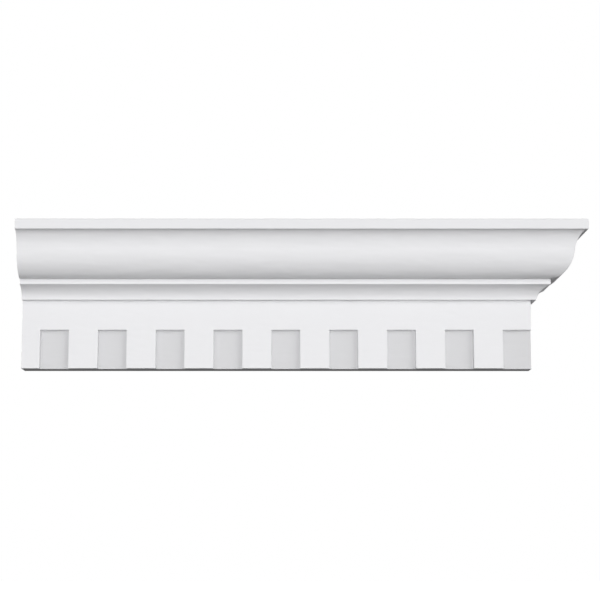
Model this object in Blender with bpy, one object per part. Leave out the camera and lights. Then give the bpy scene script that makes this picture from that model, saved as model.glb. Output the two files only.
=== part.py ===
"""Dentil cornice moulding length: a moulded wall crown with a returned right-hand end.

The moulding lies along X. Its back lies on the wall, in the plane y = 0, and its front faces -Y.
The left-hand end is cut square, to butt against the next length. At the right-hand end the crown
turns an outside mitre and returns to the wall. The origin is in the middle of the flat back.
"""

import math

import bmesh
import bpy

# Driving dimensions, in metres
FRIEZE_LENGTH = 0.8263  # along the plain frieze, from the square-cut end to the returned end
FRIEZE_THICKNESS = 0.0342  # from the wall to the front of the frieze
FRIEZE_HEIGHT = 0.1111
STEP_PROJECTION = 0.0079  # ledge under the foot of the cove
COVE_HEIGHT = 0.0220
COVE_PROJECTION = 0.0203
COVE_START = 6.4  # degrees of its ellipse, counted up from where it would stand upright
COVE_END = 68.0
BEAD_HEIGHT = 0.0085  # thin fillet between the cove and the ogee
QUIRK = 0.0014  # narrow ledge at the foot of the ogee
BULGE_HEIGHT = 0.0434  # lower, convex part of the ogee
BULGE_PROJECTION = 0.0323
BULGE_STOPS_SHORT = 8.7  # degrees of its ellipse that the convex part lacks to stand upright
HOLLOW_HEIGHT = 0.0266  # upper, concave part of the ogee
HOLLOW_PROJECTION = 0.0140
HOLLOW_START = 15.3  # degrees of its ellipse, counted up from where it would stand upright
HOLLOW_END = 70.7
TOP_LEDGE = 0.0045  # underside of the plain fillet, in front of the hollow
TOP_HEIGHT = 0.0170  # plain fillet along the top
DENTIL_WIDTH = 0.0474
DENTIL_HEIGHT = 0.0631
GAP_WIDTH = 0.0464  # recess between two dentils
GAP_DEPTH = 0.0082
GAP_COUNT = 9  # set out from the returned end, where the last recess runs out
CUTTER_OVERRUN = 0.0200  # a cutter reaches this far past the solid
CURVE_STEPS = 20  # flats along each curve of the moulding

NODE_NAME = "cornice_length"
OBJECT_COLLECTION = "Cornice length"
CUTTER_COLLECTION = "Cutters"

COVE_FOOT = FRIEZE_HEIGHT
BEAD_FOOT = COVE_FOOT + COVE_HEIGHT
OGEE_FOOT = BEAD_FOOT + BEAD_HEIGHT
WAIST = OGEE_FOOT + BULGE_HEIGHT
TOP_FOOT = WAIST + HOLLOW_HEIGHT
TOTAL_HEIGHT = TOP_FOOT + TOP_HEIGHT
BEAD_REACH = STEP_PROJECTION + COVE_PROJECTION
BULGE_FOOT_REACH = BEAD_REACH + QUIRK
WAIST_REACH = BULGE_FOOT_REACH + BULGE_PROJECTION
TOP_REACH = WAIST_REACH + HOLLOW_PROJECTION + TOP_LEDGE

LEFT_X = -FRIEZE_LENGTH / 2
RIGHT_X = FRIEZE_LENGTH / 2
BOTTOM_Z = -TOTAL_HEIGHT / 2


def remove_all_objects():
    """Start from an empty scene."""
    for item in list(bpy.data.objects):
        bpy.data.objects.remove(item, do_unlink=True)


def new_collection(name):
    """Add a collection to the scene."""
    collection = bpy.data.collections.new(name)
    bpy.context.scene.collection.children.link(collection)
    return collection


def curve_points(start, projection, height, start_degrees, end_degrees):
    """Points along part of an upright ellipse that rises from a start by a height and comes forward
    by a projection. Angles that grow towards 90 make a hollow, and angles that come up from -90
    make a bulge."""
    first = math.radians(start_degrees)
    last = math.radians(end_degrees)
    half_width = projection / (math.cos(last) - math.cos(first))
    half_height = height / (math.sin(last) - math.sin(first))
    points = []
    for step in range(CURVE_STEPS + 1):
        turn = first + (last - first) * step / CURVE_STEPS
        reach = start[0] + half_width * (math.cos(turn) - math.cos(first))
        level = start[1] + half_height * (math.sin(turn) - math.sin(first))
        points.append((reach, level))
    return points


def face_profile():
    """The moulded face from bottom to top, as (reach in front of the frieze, height)."""
    points = [(0.0, 0.0), (0.0, COVE_FOOT)]
    points += curve_points(
        (STEP_PROJECTION, COVE_FOOT), COVE_PROJECTION, COVE_HEIGHT, COVE_START, COVE_END
    )
    points.append((BEAD_REACH, OGEE_FOOT))
    points += curve_points(
        (BULGE_FOOT_REACH, OGEE_FOOT), BULGE_PROJECTION, BULGE_HEIGHT, -90, -BULGE_STOPS_SHORT
    )
    hollow = curve_points(
        (WAIST_REACH, WAIST), HOLLOW_PROJECTION, HOLLOW_HEIGHT, HOLLOW_START, HOLLOW_END
    )
    points += hollow[1:]
    points += [(TOP_REACH, TOP_FOOT), (TOP_REACH, TOTAL_HEIGHT)]
    return points


def extruded_outline(name, outline, length, collection):
    """A closed mesh made by extruding a flat outline, still lying in the XY plane."""
    curve = bpy.data.curves.new(name + "_outline", "CURVE")
    curve.dimensions = "2D"
    curve.fill_mode = "BOTH"
    curve.extrude = length / 2
    spline = curve.splines.new("POLY")
    spline.points.add(len(outline) - 1)
    for point, (across, up) in zip(spline.points, outline):
        point.co = (across, up, 0.0, 1.0)
    spline.use_cyclic_u = True
    drawn = bpy.data.objects.new(name + "_outline", curve)
    collection.objects.link(drawn)
    bpy.context.view_layer.update()
    evaluated = drawn.evaluated_get(bpy.context.evaluated_depsgraph_get())
    mesh = bpy.data.meshes.new_from_object(evaluated)
    mesh.name = name
    bpy.data.objects.remove(drawn, do_unlink=True)
    bpy.data.curves.remove(curve)

    shape = bmesh.new()
    shape.from_mesh(mesh)
    bmesh.ops.remove_doubles(shape, verts=shape.verts, dist=1e-6)
    bmesh.ops.recalc_face_normals(shape, faces=shape.faces)
    shape.to_mesh(mesh)
    shape.free()
    solid = bpy.data.objects.new(name, mesh)
    collection.objects.link(solid)
    return solid


def moulded_run(collection):
    """The moulding's cross-section, run along the wall and on past the returned end."""
    outline = [(-FRIEZE_THICKNESS, 0.0)] + face_profile() + [(-FRIEZE_THICKNESS, TOTAL_HEIGHT)]
    length = FRIEZE_LENGTH + TOP_REACH + CUTTER_OVERRUN
    run = extruded_outline(NODE_NAME, outline, length, collection)
    run.rotation_euler = (math.radians(90), 0.0, math.radians(-90))
    run.location = (LEFT_X + length / 2, -FRIEZE_THICKNESS, BOTTOM_Z)
    return run


def return_block(collection):
    """A block whose right-hand side is the same face, so that keeping what it shares with the run
    leaves the mitre and the return."""
    left_side = -FRIEZE_LENGTH - CUTTER_OVERRUN
    face = face_profile()
    below = (0.0, -CUTTER_OVERRUN)
    above = (TOP_REACH, TOTAL_HEIGHT + CUTTER_OVERRUN)
    outline = [(left_side, -CUTTER_OVERRUN), below] + face[1:-1] + [above, (left_side, above[1])]
    depth = FRIEZE_THICKNESS + TOP_REACH + 2 * CUTTER_OVERRUN
    block = extruded_outline("return_block", outline, depth, collection)
    block.rotation_euler = (math.radians(90), 0.0, 0.0)
    block.location = (RIGHT_X, CUTTER_OVERRUN - depth / 2, BOTTOM_Z)
    return block


def box_cutter(name, low, high, collection):
    """A box between two corners."""
    mesh = bpy.data.meshes.new(name)
    shape = bmesh.new()
    bmesh.ops.create_cube(shape, size=1.0)
    for vertex in shape.verts:
        for axis in range(3):
            vertex.co[axis] = high[axis] if vertex.co[axis] > 0 else low[axis]
    shape.to_mesh(mesh)
    shape.free()
    cutter = bpy.data.objects.new(name, mesh)
    collection.objects.link(cutter)
    return cutter


def dentil_gap_cutters(collection):
    """The recesses between the dentils, open below; the one at the returned end is open there too."""
    cutters = []
    floor_y = -FRIEZE_THICKNESS + GAP_DEPTH
    for number in range(GAP_COUNT):
        right = RIGHT_X - number * (GAP_WIDTH + DENTIL_WIDTH)
        left = right - GAP_WIDTH
        if number == 0:
            right += CUTTER_OVERRUN
        low = (left, floor_y - GAP_DEPTH - CUTTER_OVERRUN, BOTTOM_Z - CUTTER_OVERRUN)
        high = (right, floor_y, BOTTOM_Z + DENTIL_HEIGHT)
        cutters.append(box_cutter(f"dentil_gap_{number + 1}", low, high, collection))
    return cutters


def cut(solid, cutter, operation):
    """Add a Boolean to the solid and keep its cutter out of sight."""
    boolean = solid.modifiers.new(cutter.name, "BOOLEAN")
    boolean.operation = operation
    boolean.solver = "EXACT"
    boolean.object = cutter
    cutter.display_type = "WIRE"
    cutter.hide_render = True


def primed_white():
    """Smooth factory primer on rigid foam."""
    material = bpy.data.materials.new("primed_white")
    material.use_nodes = True
    shader = material.node_tree.nodes["Principled BSDF"]
    shader.inputs["Base Color"].default_value = (0.86, 0.87, 0.88, 1.0)
    shader.inputs["Roughness"].default_value = 0.55
    shader.inputs["Metallic"].default_value = 0.0
    return material


def build():
    """Model the moulding."""
    remove_all_objects()
    parts = new_collection(OBJECT_COLLECTION)
    cutters = new_collection(CUTTER_COLLECTION)
    moulding = moulded_run(parts)
    cut(moulding, return_block(cutters), "INTERSECT")
    for cutter in dentil_gap_cutters(cutters):
        cut(moulding, cutter, "DIFFERENCE")
    moulding.data.materials.append(primed_white())


build()
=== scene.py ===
"""Dentil cornice moulding length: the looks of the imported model, its studio and its camera."""

import logging
import math
from collections.abc import Callable
from dataclasses import dataclass, field
from enum import Enum

import bmesh
import bpy
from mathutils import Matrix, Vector


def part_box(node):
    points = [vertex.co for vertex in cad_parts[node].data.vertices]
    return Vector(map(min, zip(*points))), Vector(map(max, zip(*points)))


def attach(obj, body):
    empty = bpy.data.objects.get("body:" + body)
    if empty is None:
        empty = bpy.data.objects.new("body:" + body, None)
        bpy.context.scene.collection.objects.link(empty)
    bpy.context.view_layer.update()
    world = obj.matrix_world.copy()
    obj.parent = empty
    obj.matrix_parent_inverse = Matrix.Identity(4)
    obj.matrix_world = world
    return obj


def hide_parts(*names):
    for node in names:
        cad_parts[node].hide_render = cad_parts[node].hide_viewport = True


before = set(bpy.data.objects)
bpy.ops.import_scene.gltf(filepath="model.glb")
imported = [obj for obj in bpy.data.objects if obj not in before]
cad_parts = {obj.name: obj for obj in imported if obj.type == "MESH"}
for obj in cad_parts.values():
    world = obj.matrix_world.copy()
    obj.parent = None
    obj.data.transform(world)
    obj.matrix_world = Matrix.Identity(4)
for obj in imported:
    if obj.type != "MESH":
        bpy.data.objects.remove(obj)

log = logging.getLogger("cornice")

Point = tuple[float, float, float]
Colour = tuple[float, float, float]

NODE = "cornice_length"
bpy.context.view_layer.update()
WHITE = (1.0, 1.0, 1.0, 1.0)
TOUCH = 1e-5  # nearer than this, in metres, two points are one
SEED_SIZE = 0.01  # side of the plane that is merged into a section's first point


class Blend(Enum):
    """How a colour is laid over another."""

    MIX = "MIX"
    MULTIPLY = "MULTIPLY"


class Kind(Enum):
    """What is selected in edit mode."""

    VERTICES = "verts"
    EDGES = "edges"


class Wire:
    """A shader socket that takes part in sums like a number."""

    def __init__(self, board: "Board", socket: bpy.types.NodeSocket) -> None:
        """Hold a socket.

        Args:
            board: the node board that the socket belongs to.
            socket: the output socket.
        """
        self.board = board
        self.socket = socket

    def _math(self, operation: str, *values: "Wire | float") -> "Wire":
        """Add a Math node.

        Args:
            operation: the node's operation.
            values: its inputs, in order.

        Returns:
            The node's output.
        """
        node = self.board.add("ShaderNodeMath", {"operation": operation}, dict(enumerate(values)))
        return node["Value"]

    def __add__(self, other: "Wire | float") -> "Wire":
        """Sum."""
        return self._math("ADD", self, other)

    def __radd__(self, other: float) -> "Wire":
        """Sum with a number first."""
        return self._math("ADD", other, self)

    def __sub__(self, other: "Wire | float") -> "Wire":
        """Difference."""
        return self._math("SUBTRACT", self, other)

    def __rsub__(self, other: float) -> "Wire":
        """Difference from a number."""
        return self._math("SUBTRACT", other, self)

    def __mul__(self, other: "Wire | float") -> "Wire":
        """Product."""
        return self._math("MULTIPLY", self, other)

    def __rmul__(self, other: float) -> "Wire":
        """Product with a number first."""
        return self._math("MULTIPLY", other, self)

    def __gt__(self, other: "Wire | float") -> "Wire":
        """One where this is the greater, otherwise nought."""
        return self._math("GREATER_THAN", self, other)

    def __lt__(self, other: "Wire | float") -> "Wire":
        """One where this is the lesser, otherwise nought."""
        return self._math("LESS_THAN", self, other)

    def lift(self, low: float, high: float) -> "Wire":
        """Spread values from nought to one over a range of its own.

        Args:
            low: the value at nought.
            high: the value at one.

        Returns:
            The spread value.
        """
        return self * (high - low) + low


class Board:
    """The node tree of a material or of the world."""

    def __init__(self, owner: bpy.types.Material | bpy.types.World, last: str) -> None:
        """Open a new material's or world's nodes.

        Args:
            owner: the material or world.
            last: the name of the node that the others feed.
        """
        owner.use_nodes = True
        self.tree = owner.node_tree
        self.last = self.tree.nodes[last].inputs

    def add(
        self, kind: str, settings: dict[str, object], sockets: dict[str | int, object]
    ) -> dict[str, Wire]:
        """Add any node.

        Args:
            kind: the node's type.
            settings: its properties, such as a Math node's operation, set before the sockets.
            sockets: values or wires, by input name or number.

        Returns:
            The node's outputs by name.
        """
        node = self.tree.nodes.new(kind)
        for name, value in settings.items():
            setattr(node, name, value)
        for name, value in sockets.items():
            self.feed(node.inputs[name], value)
        return {output.name: Wire(self, output) for output in node.outputs if output.enabled}

    def feed(self, socket: bpy.types.NodeSocket, value: object) -> None:
        """Give a socket a wire or a plain value.

        Args:
            socket: the input socket.
            value: the wire or value.
        """
        if isinstance(value, Wire):
            self.tree.links.new(value.socket, socket)
        else:
            socket.default_value = value

    def noise(self, place: Wire, grain: float, detail: float) -> Wire:
        """Soft random values between nought and one.

        Args:
            place: the coordinates.
            grain: the size of a lump, in metres.
            detail: how many finer layers are added.

        Returns:
            The value.
        """
        sockets = {"Vector": place, "Scale": 1.0 / grain, "Detail": detail}
        return self.add("ShaderNodeTexNoise", {}, sockets)["Fac"]

    def mix(self, how: Blend, amount: Wire | float, under: object, over: object) -> Wire:
        """Lay one colour over another.

        Args:
            how: the blend.
            amount: how much of it shows.
            under: the colour below.
            over: the colour above.

        Returns:
            The mixed colour.
        """
        settings = {"data_type": "RGBA", "blend_type": how.value}
        # the Mix node has a pair of inputs for each data type: 6 and 7 are the colours
        node = self.add("ShaderNodeMix", settings, {0: amount, 6: under, 7: over})
        return node["Result"]


@dataclass(frozen=True)
class PrimedFoam:
    """Rigid foam with a sprayed white primer; the saw-cut end and the planed back are bare foam."""

    primer: Colour = (0.856, 0.856, 0.872)
    primer_shade: Colour = (0.842, 0.842, 0.858)
    foam: Colour = (0.830, 0.815, 0.765)
    foam_cell: Colour = (0.740, 0.720, 0.660)
    # painted shade: the primer on the recess floors is multiplied darker, as the shade that falls
    # in the recesses
    recess_painted_shade: Colour = (0.80, 0.80, 0.80)
    roughness: float = 0.52
    roughness_spread: float = 0.08
    bare_roughness: float = 0.30  # added where the foam is bare
    specular: float = 0.35
    cloud_size: float = 0.090
    patch_size: float = 0.030
    wave_size: float = 0.014
    wave_height: float = 0.00080
    wave_stretch: Point = (0.35, 1.0, 1.0)  # below one along the run, so the waves draw out
    peel_size: float = 0.0022
    peel_height: float = 0.000020
    cell_size: float = 0.0008
    cell_depth: float = 0.00012
    cut_skin: float = 0.00015  # a point this near to a face belongs to it

    def make(self, low: Vector, high: Vector, floor: Vector) -> bpy.types.Material:
        """Make the material.

        Args:
            low: the piece's lowest corner.
            high: the piece's highest corner.
            floor: the top of the recesses' floor, where painted shade makes the primer darker than
                on the faces in front.

        Returns:
            The material.
        """
        material = bpy.data.materials.new("primed_foam")
        board = Board(material, "Principled BSDF")
        place = board.add("ShaderNodeTexCoord", {}, {})["Object"]
        axes = board.add("ShaderNodeSeparateXYZ", {}, {"Vector": place})
        bare_end = axes["X"] < low.x + self.cut_skin
        bare_back = axes["Y"] > high.y - self.cut_skin
        bare = bare_end + bare_back - bare_end * bare_back
        # the recess floors, which get painted shade
        recess = (axes["Y"] > floor.y - self.cut_skin) * (axes["Y"] < floor.y + self.cut_skin)
        recess = recess * (axes["Z"] < floor.z + self.cut_skin)

        clouds = board.noise(place, self.cloud_size, detail=3.0)
        primer = board.mix(Blend.MIX, clouds, (*self.primer, 1.0), (*self.primer_shade, 1.0))
        # painted shade: the recess floors are multiplied darker
        primer = board.mix(Blend.MULTIPLY, recess, primer, (*self.recess_painted_shade, 1.0))
        cells = {"Vector": place, "Scale": 1.0 / self.cell_size}
        walls = board.add("ShaderNodeTexVoronoi", {}, cells)["Distance"]
        foam = board.mix(Blend.MIX, walls, (*self.foam_cell, 1.0), (*self.foam, 1.0))
        colour = board.mix(Blend.MIX, bare, primer, foam)

        drawn = board.add(
            "ShaderNodeVectorMath", {"operation": "MULTIPLY"}, {0: place, 1: self.wave_stretch}
        )["Vector"]
        wave = board.noise(drawn, self.wave_size, detail=1.0) * self.wave_height
        peel = board.noise(place, self.peel_size, detail=1.0) * self.peel_height
        height = wave + peel * (1.0 - bare) + walls * self.cell_depth * bare
        bump = board.add("ShaderNodeBump", {}, {"Height": height, "Distance": 1.0, "Strength": 1.0})
        least = self.roughness - self.roughness_spread
        most = self.roughness + self.roughness_spread
        gloss = board.noise(place, self.patch_size, detail=2.0).lift(least, most)
        board.feed(board.last["Base Color"], colour)
        board.feed(board.last["Roughness"], gloss + bare * self.bare_roughness)
        board.feed(board.last["Normal"], bump["Normal"])
        board.feed(board.last["Specular IOR Level"], self.specular)
        return material


class Bench:
    """Edit-mode handwork on one object at a time."""

    @staticmethod
    def clear() -> None:
        """Deselect every object."""
        bpy.ops.object.select_all(action="DESELECT")

    @staticmethod
    def take(item: bpy.types.Object) -> None:
        """Select one object and make it active.

        Args:
            item: the object.
        """
        Bench.clear()
        item.select_set(True)
        bpy.context.view_layer.objects.active = item

    @staticmethod
    def select(item: bpy.types.Object, kind: Kind, wanted: Callable[..., bool]) -> None:
        """Select vertices or edges of the object in edit mode.

        Args:
            item: the object being edited.
            kind: what is selected.
            wanted: a test that takes the vertex or edge.
        """
        bpy.ops.mesh.select_all(action="DESELECT")
        shape = bmesh.from_edit_mesh(item.data)
        for element in getattr(shape, kind.value):
            if wanted(element):
                element.select_set(True)
        shape.select_flush_mode()
        bmesh.update_edit_mesh(item.data)

    @staticmethod
    def apply(item: bpy.types.Object, kind: str, **settings: object) -> None:
        """Add a modifier and apply it.

        Args:
            item: the object.
            kind: the modifier's type.
            settings: its properties.
        """
        Bench.take(item)
        modifier = item.modifiers.new(kind.lower(), kind)
        for name, value in settings.items():
            setattr(modifier, name, value)
        bpy.ops.object.modifier_apply(modifier=modifier.name)


class Pen:
    """Draws a section in edit mode, one stretch after another."""

    def __init__(self, name: str, start: Vector, curve_steps: int) -> None:
        """Put down the first point.

        Args:
            name: the section's name.
            start: where its outline begins.
            curve_steps: how many flats each curve has.
        """
        self.here = start.copy()
        self.curve_steps = curve_steps
        self.corners: dict[float, list[Vector]] = {}
        Bench.clear()
        bpy.ops.mesh.primitive_plane_add(size=SEED_SIZE, location=start)
        self.section = bpy.context.object
        self.section.name = name
        bpy.ops.object.mode_set(mode="EDIT")
        bpy.ops.mesh.select_mode(type="VERT")
        bpy.ops.mesh.merge(type="CENTER")

    def line(self, run: float, rise: float) -> None:
        """Extrude the last point along a straight stretch.

        Args:
            run: how far it comes forward.
            rise: how far it goes up.
        """
        stretch = Vector((0.0, -run, rise))
        bpy.ops.mesh.extrude_region_move(TRANSFORM_OT_translate={"value": stretch})
        self.here = self.here + stretch

    def curve(self, run: float, rise: float, start: float, end: float) -> None:
        """Spin the last point along part of a circle and stretch that to its run.

        Args:
            run: how far it comes forward.
            rise: how far it goes up.
            start: degrees from level at its foot. Angles up to 90 make a hollow.
            end: degrees from level at its top. Angles up from -90 make a bulge.
        """
        count = len(bmesh.from_edit_mesh(self.section.data).verts)
        first, last = math.radians(start), math.radians(end)
        radius = rise / (math.sin(last) - math.sin(first))
        wide = abs(run / (radius * (math.cos(last) - math.cos(first))))
        side = 1.0 if end > 0 else -1.0
        behind, below = side * radius * math.cos(first), radius * math.sin(first)
        middle = self.here - Vector((0.0, behind, below))
        bpy.ops.mesh.spin(
            steps=self.curve_steps, angle=-side * (last - first), center=middle, axis=(1, 0, 0)
        )
        Bench.select(self.section, Kind.VERTICES, lambda vertex: vertex.index >= count)
        bpy.ops.transform.resize(value=(1.0, wide, 1.0), center_override=self.here)
        self.here = self.here + Vector((0.0, -run, rise))
        Bench.select(self.section, Kind.VERTICES, lambda vertex: self.is_at(vertex, [self.here]))

    def is_at(self, vertex: bmesh.types.BMVert, places: list[Vector]) -> bool:
        """Tell whether a vertex is at one of the places."""
        return any((vertex.co + self.section.location - place).length < TOUCH for place in places)

    def corner(self, softness: float) -> None:
        """Mark the last point for a soft arris."""
        self.corners.setdefault(softness, []).append(self.here)

    def close(self, arris_steps: int) -> bpy.types.Object:
        """Soften the marked corners and fill the outline.

        Args:
            arris_steps: how many flats each soft arris has.

        Returns:
            The section.
        """
        for softness, marks in self.corners.items():
            Bench.select(self.section, Kind.VERTICES, lambda vertex: self.is_at(vertex, marks))
            bpy.ops.mesh.bevel(affect="VERTICES", offset=softness, segments=arris_steps)
        bpy.ops.mesh.select_all(action="SELECT")
        bpy.ops.mesh.edge_face_add()
        bpy.ops.object.mode_set(mode="OBJECT")
        return self.section


@dataclass
class MouldedFace:
    """The outline of the moulding's face, bottom to top, in metres and degrees."""

    thickness: float = 0.0342
    frieze: float = 0.1111
    step: float = 0.0079
    cove_rise: float = 0.0220
    cove_run: float = 0.0203
    cove_start: float = 6.4
    cove_end: float = 68.0
    bead: float = 0.0085
    quirk: float = 0.0014
    bulge_rise: float = 0.0434
    bulge_run: float = 0.0323
    bulge_start: float = -90.0
    bulge_end: float = -8.7
    hollow_rise: float = 0.0266
    hollow_run: float = 0.0140
    hollow_start: float = 15.3
    hollow_end: float = 70.7
    ledge: float = 0.0045
    fillet: float = 0.0170
    crisp_arris: float = 0.0005  # softness of the corner at the foot of the cove
    arris: float = 0.0011  # of the bead's corners
    top_arris: float = 0.0020  # of the fillet's corners
    mitre_arris: float = 0.0012
    curve_steps: int = 32
    arris_steps: int = 4

    @property
    def reach(self) -> float:
        """How far the top stands in front of the frieze."""
        curved = self.cove_run + self.bulge_run + self.hollow_run
        return self.step + self.quirk + self.ledge + curved

    def draw(self, corner: Vector) -> bpy.types.Object:
        """Draw the section as a flat face in the plane of the square-cut end.

        Args:
            corner: the section's lower corner at the back.

        Returns:
            The section.
        """
        pen = Pen(NODE + "_moulded", corner, self.curve_steps)
        pen.line(self.thickness, 0.0)
        pen.line(0.0, self.frieze)
        pen.line(self.step, 0.0)
        pen.corner(self.crisp_arris)
        pen.curve(self.cove_run, self.cove_rise, self.cove_start, self.cove_end)
        pen.corner(self.arris)
        pen.line(0.0, self.bead)
        pen.corner(self.arris)
        pen.line(self.quirk, 0.0)
        pen.curve(self.bulge_run, self.bulge_rise, self.bulge_start, self.bulge_end)
        pen.curve(self.hollow_run, self.hollow_rise, self.hollow_start, self.hollow_end)
        pen.line(self.ledge, 0.0)
        pen.corner(self.top_arris)
        pen.line(0.0, self.fillet)
        pen.corner(self.top_arris)
        pen.line(-self.reach - self.thickness, 0.0)
        return pen.close(self.arris_steps)


@dataclass
class Dentils:
    """The row of recesses that leaves the dentils standing."""

    gap: float = 0.0464
    tooth: float = 0.0474
    height: float = 0.0631
    relief: float = 0.0082
    count: int = 9
    overrun: float = 0.0200  # how far a cutter reaches past the moulding
    arris: float = 0.0005
    arris_steps: int = 3
    sharp_degrees: float = 40.0  # an edge that turns by less stays as it is

    def cutter(self, face_y: float, right: float, bottom: float) -> bpy.types.Object:
        """One mesh of boxes, each as big as a recess and open in front and below.

        Args:
            face_y: the front of the frieze.
            right: the returned end of the frieze.
            bottom: the frieze's lower edge.

        Returns:
            The boxes.
        """
        boxes = []
        for number in range(self.count):
            high_x = right - number * (self.gap + self.tooth)
            low_x = high_x - self.gap
            high_x += self.overrun if number == 0 else 0.0
            low = Vector((low_x, face_y - self.overrun, bottom - self.overrun))
            high = Vector((high_x, face_y + self.relief, bottom + self.height))
            Bench.clear()
            bpy.ops.mesh.primitive_cube_add(size=1.0, location=(low + high) / 2, scale=high - low)
            boxes.append(bpy.context.object)
        Bench.take(boxes[0])
        for box in boxes:
            box.select_set(True)
        bpy.ops.object.join()
        return bpy.context.object

    def cut(self, moulding: bpy.types.Object, face_y: float, right: float, bottom: float) -> None:
        """Cut the recesses and soften their edges.

        Args:
            moulding: the moulding.
            face_y: the front of the frieze.
            right: the returned end of the frieze.
            bottom: the frieze's lower edge.
        """
        cutter = self.cutter(face_y, right, bottom)
        Bench.apply(moulding, "BOOLEAN", operation="DIFFERENCE", solver="EXACT", object=cutter)
        bpy.data.objects.remove(cutter, do_unlink=True)
        top = bottom + self.height
        sawn_end = min(vertex.co.x for vertex in moulding.data.vertices)

        def is_edge(edge: bmesh.types.BMEdge) -> bool:
            """Tell whether an edge belongs to a recess or to the foot of the frieze.

            Args:
                edge: the edge.

            Returns:
                True if it does.
            """
            if edge.calc_length() < TOUCH:
                return False
            sharp = edge.calc_face_angle(0.0) > math.radians(self.sharp_degrees)
            places = [vertex.co for vertex in edge.verts]
            front = all(place.y < face_y + self.relief + TOUCH for place in places)
            low = all(place.z < top + TOUCH for place in places)
            sawn = all(place.x < sawn_end + TOUCH for place in places)
            return sharp and front and low and not sawn

        Bench.take(moulding)
        bpy.ops.object.mode_set(mode="EDIT")
        bpy.ops.mesh.select_mode(type="EDGE")
        Bench.select(moulding, Kind.EDGES, is_edge)
        bpy.ops.mesh.bevel(offset=self.arris, segments=self.arris_steps, affect="EDGES")
        bpy.ops.object.mode_set(mode="OBJECT")


@dataclass
class CorniceLength:
    """The whole moulding: a run with its square-cut end, its mitre and its return."""

    face: MouldedFace = field(default_factory=MouldedFace)
    dentils: Dentils = field(default_factory=Dentils)
    finish: PrimedFoam = field(default_factory=PrimedFoam)
    spare_run: float = 1.5  # times the reach, run on past the frieze and cut off by the mitre
    bent_degrees: float = 2.0  # a mitre edge that turns by less needs no arris
    smooth_degrees: float = 32.0

    def build(self) -> bpy.types.Object:
        """Model and dress the moulding.

        Returns:
            The finished piece.
        """
        low, high = (Vector(corner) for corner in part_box(NODE))
        right = high.x - self.face.reach
        face_y = high.y - self.face.thickness
        moulding = self.face.draw(Vector((low.x, high.y, low.z)))
        self._run(moulding, right, face_y)
        self._return(moulding, right, face_y, high.y)
        self.dentils.cut(moulding, face_y, right, low.z)
        floor = Vector((low.x, face_y + self.dentils.relief, low.z + self.dentils.height))
        self._finish(moulding, self.finish.make(low, high, floor))
        log.info("%s: %d faces", moulding.name, len(moulding.data.polygons))
        return moulding

    def _run(self, moulding: bpy.types.Object, right: float, face_y: float) -> None:
        """Run the section along the wall and mitre it.

        Args:
            moulding: the section.
            right: the returned end of the frieze.
            face_y: the front of the frieze.
        """
        length = right - moulding.location.x + self.face.reach * self.spare_run
        Bench.take(moulding)
        bpy.ops.object.transform_apply(location=True, rotation=True, scale=True)
        bpy.ops.object.mode_set(mode="EDIT")
        bpy.ops.mesh.select_all(action="SELECT")
        bpy.ops.mesh.extrude_region_move(TRANSFORM_OT_translate={"value": (length, 0.0, 0.0)})
        bpy.ops.mesh.select_all(action="SELECT")
        bpy.ops.mesh.normals_make_consistent(inside=False)
        bpy.ops.mesh.bisect(
            plane_co=(right, face_y, 0.0),
            plane_no=(1.0, 1.0, 0.0),
            clear_outer=True,
            use_fill=False,
        )
        bpy.ops.object.mode_set(mode="OBJECT")

    def _return(
        self, moulding: bpy.types.Object, right: float, face_y: float, wall_y: float
    ) -> None:
        """Mirror the run in the mitre and cut the return off at the wall.

        Args:
            moulding: the mitred run.
            right: the returned end of the frieze.
            face_y: the front of the frieze.
            wall_y: the wall.
        """
        Bench.clear()
        half_corner = (0.0, 0.0, math.radians(45))
        bpy.ops.object.empty_add(location=(right, face_y, 0.0), rotation=half_corner)
        mitre = bpy.context.object
        Bench.apply(moulding, "MIRROR", mirror_object=mitre, merge_threshold=TOUCH)
        bpy.data.objects.remove(mitre, do_unlink=True)
        bpy.ops.object.mode_set(mode="EDIT")
        bpy.ops.mesh.select_all(action="SELECT")
        bpy.ops.mesh.bisect(
            plane_co=(0.0, wall_y, 0.0),
            plane_no=(0.0, 1.0, 0.0),
            clear_outer=True,
            use_fill=False,
            threshold=TOUCH,
        )
        bpy.ops.mesh.select_mode(type="EDGE")
        bpy.ops.mesh.select_all(action="DESELECT")
        bpy.ops.mesh.select_non_manifold()
        bpy.ops.mesh.edge_face_add()
        bpy.ops.mesh.select_all(action="SELECT")
        bpy.ops.mesh.remove_doubles(threshold=TOUCH)
        bpy.ops.mesh.normals_make_consistent(inside=False)

        def is_mitre(edge: bmesh.types.BMEdge) -> bool:
            """Tell whether an edge runs along the mitre and its faces meet at an angle there.

            Args:
                edge: the edge.

            Returns:
                True if it does.
            """
            offsets = [vertex.co.x - right + vertex.co.y - face_y for vertex in edge.verts]
            bent = edge.calc_face_angle(0.0) > math.radians(self.bent_degrees)
            return bent and all(abs(offset) < TOUCH for offset in offsets)

        Bench.select(moulding, Kind.EDGES, is_mitre)
        bpy.ops.mesh.bevel(
            affect="EDGES",
            offset_type="ABSOLUTE",
            offset=self.face.mitre_arris,
            segments=self.face.arris_steps,
            clamp_overlap=False,
        )
        bpy.ops.object.mode_set(mode="OBJECT")

    def _finish(self, moulding: bpy.types.Object, material: bpy.types.Material) -> None:
        """Shade, dress and place the moulding in the frame.

        Args:
            moulding: the modelled piece.
            material: its finish.
        """
        Bench.take(moulding)
        bpy.ops.object.shade_smooth_by_angle(angle=math.radians(self.smooth_degrees))
        Bench.apply(moulding, "WEIGHTED_NORMAL", keep_sharp=True)
        moulding.data.materials.clear()
        moulding.data.materials.append(material)
        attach(moulding, "root")
        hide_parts(NODE)


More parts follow.
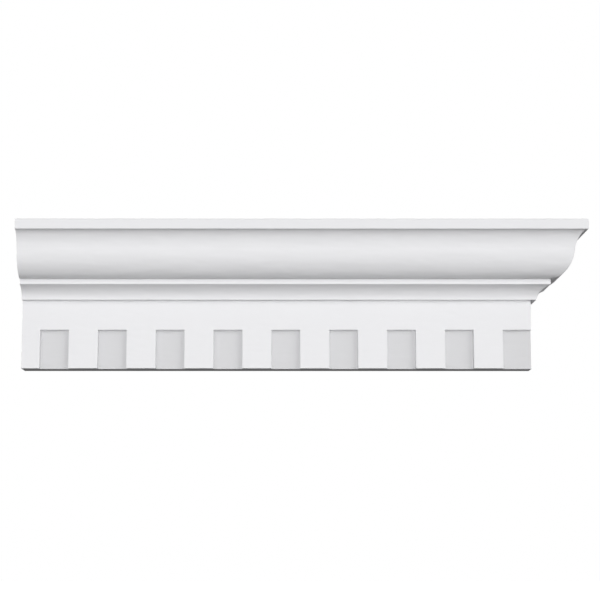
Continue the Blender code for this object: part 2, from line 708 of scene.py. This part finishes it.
@dataclass(frozen=True)
class SoftLight:
    """A broad distant lamp.

    The bearing is counted in degrees from straight in front towards the returned end, and the rise
    upwards from level.
    """

    name: str
    bearing: float
    rise: float
    strength: float
    spread: float = 25.0

    def hang(self) -> None:
        """Add the lamp to the scene."""
        lamp = bpy.data.lights.new(self.name, "SUN")
        lamp.energy = self.strength
        lamp.angle = math.radians(self.spread)
        bearing, rise = math.radians(self.bearing), math.radians(self.rise)
        level = math.cos(rise)
        towards = Vector((math.sin(bearing) * level, -math.cos(bearing) * level, math.sin(rise)))
        item = bpy.data.objects.new(self.name, lamp)
        item.rotation_euler = towards.to_track_quat("Z", "Y").to_euler()
        bpy.context.scene.collection.objects.link(item)


@dataclass
class Studio:
    """A plain pale floor, a white surround and soft lamps."""

    floor_drop: float = 1.30
    floor_size: float = 60.0
    floor_colour: Colour = (0.80, 0.80, 0.80)
    floor_roughness: float = 0.90
    floor_glow: float = 0.80
    backdrop: float = 1.0
    haze: float = 0.04
    lights: tuple[SoftLight, ...] = (
        SoftLight("right_front", 40.0, 20.0, 0.79),
        SoftLight("right_side", 60.0, 5.0, 0.49),
        SoftLight("left_front", -30.0, 20.0, 0.49),
        SoftLight("left_side", -60.0, 5.0, 0.20),
        SoftLight("low_front", 0.0, -10.0, 1.41),
        SoftLight("underneath", -30.0, -30.0, 0.16),
        SoftLight("overhead", 0.0, 65.0, 0.14),
        SoftLight("back_right", 130.0, 15.0, 1.1),
        SoftLight("back_left", -125.0, 15.0, 1.5),
        SoftLight("back_top", 180.0, 45.0, 0.8),
    )

    def set_up(self) -> None:
        """Add the floor, the surround and the lamps."""
        self._floor()
        self._surround()
        for light in self.lights:
            light.hang()

    def _floor(self) -> None:
        """A wide matt floor below the hanging moulding, lit evenly and sending it no light."""
        Bench.clear()
        place = (0.0, 0.0, -self.floor_drop)
        bpy.ops.mesh.primitive_plane_add(size=self.floor_size, location=place)
        floor = bpy.context.object
        floor.name = "studio_floor"
        material = bpy.data.materials.new("studio_floor")
        board = Board(material, "Principled BSDF")
        board.feed(board.last["Base Color"], (*self.floor_colour, 1.0))
        board.feed(board.last["Roughness"], self.floor_roughness)
        board.feed(board.last["Emission Color"], WHITE)
        board.feed(board.last["Emission Strength"], self.floor_glow)
        floor.data.materials.append(material)
        floor.visible_diffuse = False
        floor.visible_glossy = False
        floor.visible_shadow = False

    def _surround(self) -> None:
        """White all round to the eye, and a faint even light for the moulding."""
        world = bpy.data.worlds.new("studio")
        bpy.context.scene.world = world
        board = Board(world, "World Output")
        seen, light = (
            board.add("ShaderNodeBackground", {}, {"Color": WHITE, "Strength": glow})["Background"]
            for glow in (self.backdrop, self.haze)
        )
        to_the_eye = board.add("ShaderNodeLightPath", {}, {})["Is Camera Ray"]
        chosen = board.add("ShaderNodeMixShader", {}, {0: to_the_eye, 1: light, 2: seen})
        board.feed(board.last["Surface"], chosen["Shader"])


@dataclass
class PhotoCamera:
    """The camera, below the moulding and nearly square to it."""

    place: Point = (0.0162, -2.2042, -0.3944)
    pitch_degrees: float = 7.71
    yaw_degrees: float = -0.055
    lens: float = 81.23
    sensor: float = 36.0
    shift: tuple[float, float] = (0.02, 0.1)

    def set_up(self) -> None:
        """Add the camera and look through it."""
        data = bpy.data.cameras.new("photo_camera")
        data.lens = self.lens
        data.sensor_width = self.sensor
        data.shift_x, data.shift_y = self.shift
        camera = bpy.data.objects.new("photo_camera", data)
        camera.location = self.place
        pitch, yaw = math.radians(90 + self.pitch_degrees), math.radians(self.yaw_degrees)
        camera.rotation_euler = (pitch, 0.0, yaw)
        bpy.context.scene.collection.objects.link(camera)
        bpy.context.scene.camera = camera


def main() -> None:
    """Build the moulding, its studio and its camera."""
    logging.basicConfig(level=logging.INFO, format="%(name)s: %(message)s")
    PhotoCamera().set_up()
    moulding = CorniceLength().build()
    Studio().set_up()
    bpy.context.scene.view_settings.view_transform = "Standard"
    log.info("ready: %s", moulding.name)


if __name__ == "__main__":
    main()
